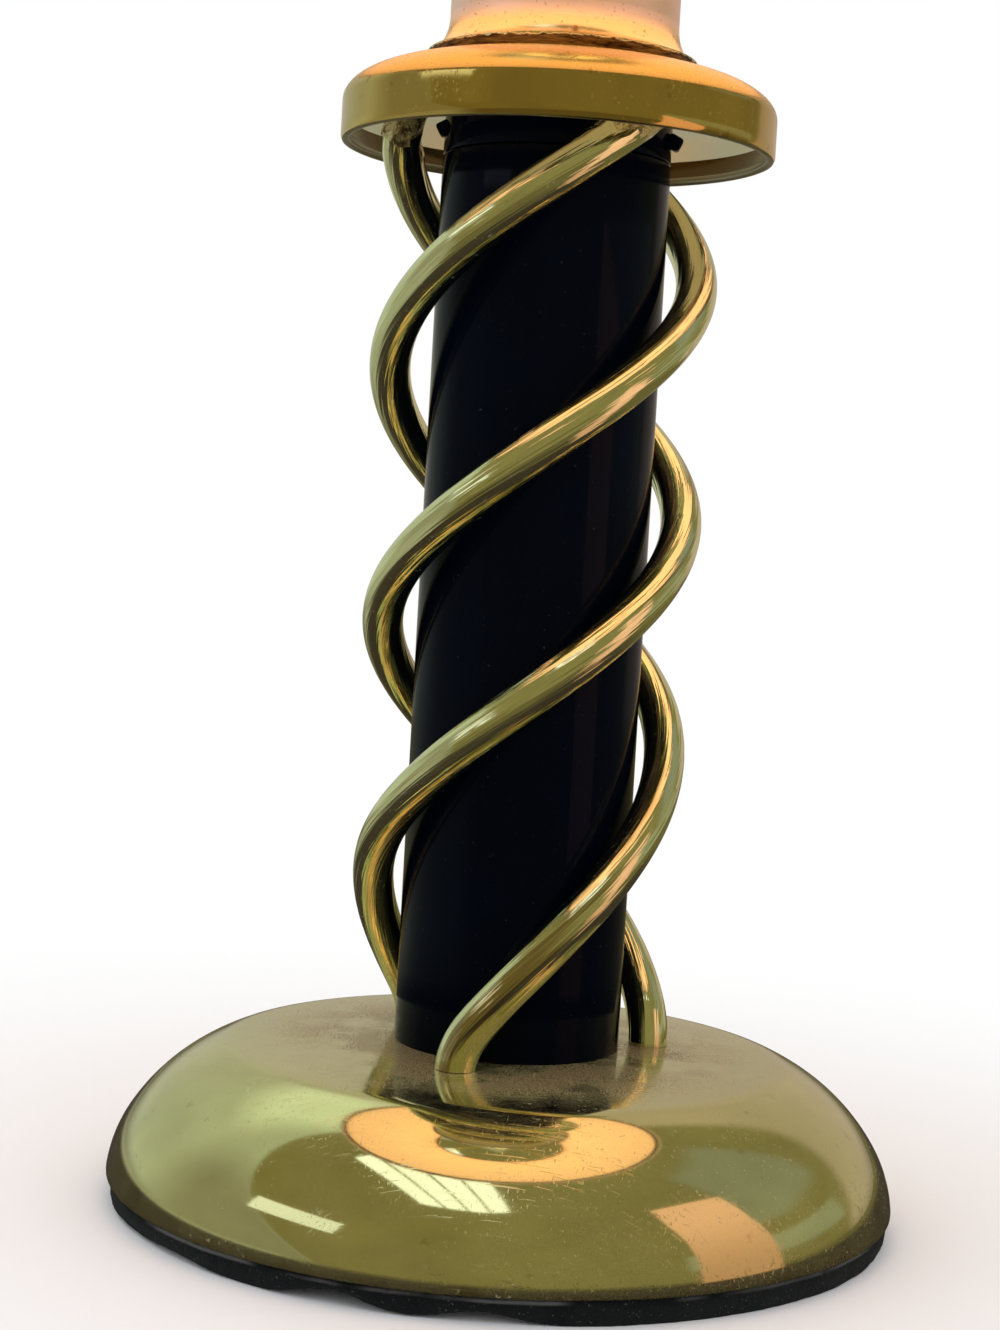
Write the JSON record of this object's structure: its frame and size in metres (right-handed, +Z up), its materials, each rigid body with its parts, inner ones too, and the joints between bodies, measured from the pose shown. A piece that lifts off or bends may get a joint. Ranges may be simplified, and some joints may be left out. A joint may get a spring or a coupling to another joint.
{
  "type": "table lamp",
  "caption": "Table lamp with a domed polished brass base, a black column caged by twisted brass rods, a brass disc and neck, a turn-switch lamp socket, a harp and an empire shade.",
  "frame": {"origin": "on the table, under the middle of the column", "axes": "+Z up along the column, -Y towards the viewer and the turn switch, +X to the viewer's right"},
  "size_m": [0.3316, 0.3316, 0.5379],
  "materials": {
    "polished_brass": "polished",
    "contact_brass": "satin",
    "black_lacquer": "gloss",
    "black_plastic": "matte",
    "phenolic": "semi-gloss",
    "fibre_board": "matte",
    "felt": "matt felt",
    "cast_iron": "as cast",
    "plated_steel": "zinc plated",
    "bulb_metal": "bright",
    "frosted_glass": "frosted",
    "shade_cloth": "woven cloth on a stiff liner",
    "shade_tape": "woven tape"
  },
  "bodies": {
    "lamp": {"felt_pad": "felt", "base_dome": "polished_brass", "base_weight": "cast_iron", "bottom_washer": "plated_steel", "bottom_nut": "plated_steel", "lead_inlet": "black_plastic", "threaded_pipe": "plated_steel", "column_bottom_plug": "black_plastic", "column_tube": "black_lacquer", "column_top_cap": "black_plastic", "twist_rod_1": "polished_brass", "twist_rod_2": "polished_brass", "twist_rod_3": "polished_brass", "rod_nut_1": "plated_steel", "rod_nut_2": "plated_steel", "rod_nut_3": "plated_steel", "top_disc": "polished_brass", "neck": "polished_brass", "neck_cap": "polished_brass", "lock_nut": "polished_brass", "harp_saddle": "polished_brass", "socket_bell": "polished_brass", "socket_shell": "polished_brass", "socket_liner": "fibre_board", "socket_body": "phenolic", "screw_shell": "contact_brass", "centre_contact": "contact_brass", "bulb_tip": "bulb_metal", "bulb_cap": "bulb_metal", "bulb_glass": "frosted_glass", "harp_bow": "polished_brass"},
    "switch": {"switch_stem": "contact_brass", "switch_knob": "black_plastic"},
    "sleeve_left": {"harp_sleeve_left": "polished_brass"},
    "sleeve_right": {"harp_sleeve_right": "polished_brass"},
    "shade": {"swivel_stud": "polished_brass", "finial": "polished_brass", "shade_shell": "shade_cloth", "shade_spider": "polished_brass", "shade_bottom_ring": "polished_brass", "shade_top_trim": "shade_tape", "shade_bottom_trim": "shade_tape"}
  },
  "joints": [
    {"name": "switch_turn", "type": "hinge", "parent": "lamp", "child": "switch", "pos_m": [0, -0.02, 0.33043], "axis": [0, -1, 0], "continuous": true},
    {"name": "sleeve_left_lift", "type": "slide", "parent": "lamp", "child": "sleeve_left", "axis": [0, 0, 1], "range_m": [0, 0.012]},
    {"name": "sleeve_right_lift", "type": "slide", "parent": "lamp", "child": "sleeve_right", "axis": [0, 0, 1], "range_m": [0, 0.012]},
    {"name": "shade_turn", "type": "hinge", "parent": "lamp", "child": "shade", "pos_m": [0, 0, 0.504], "axis": [0, 0, 1], "continuous": true}
  ]
}
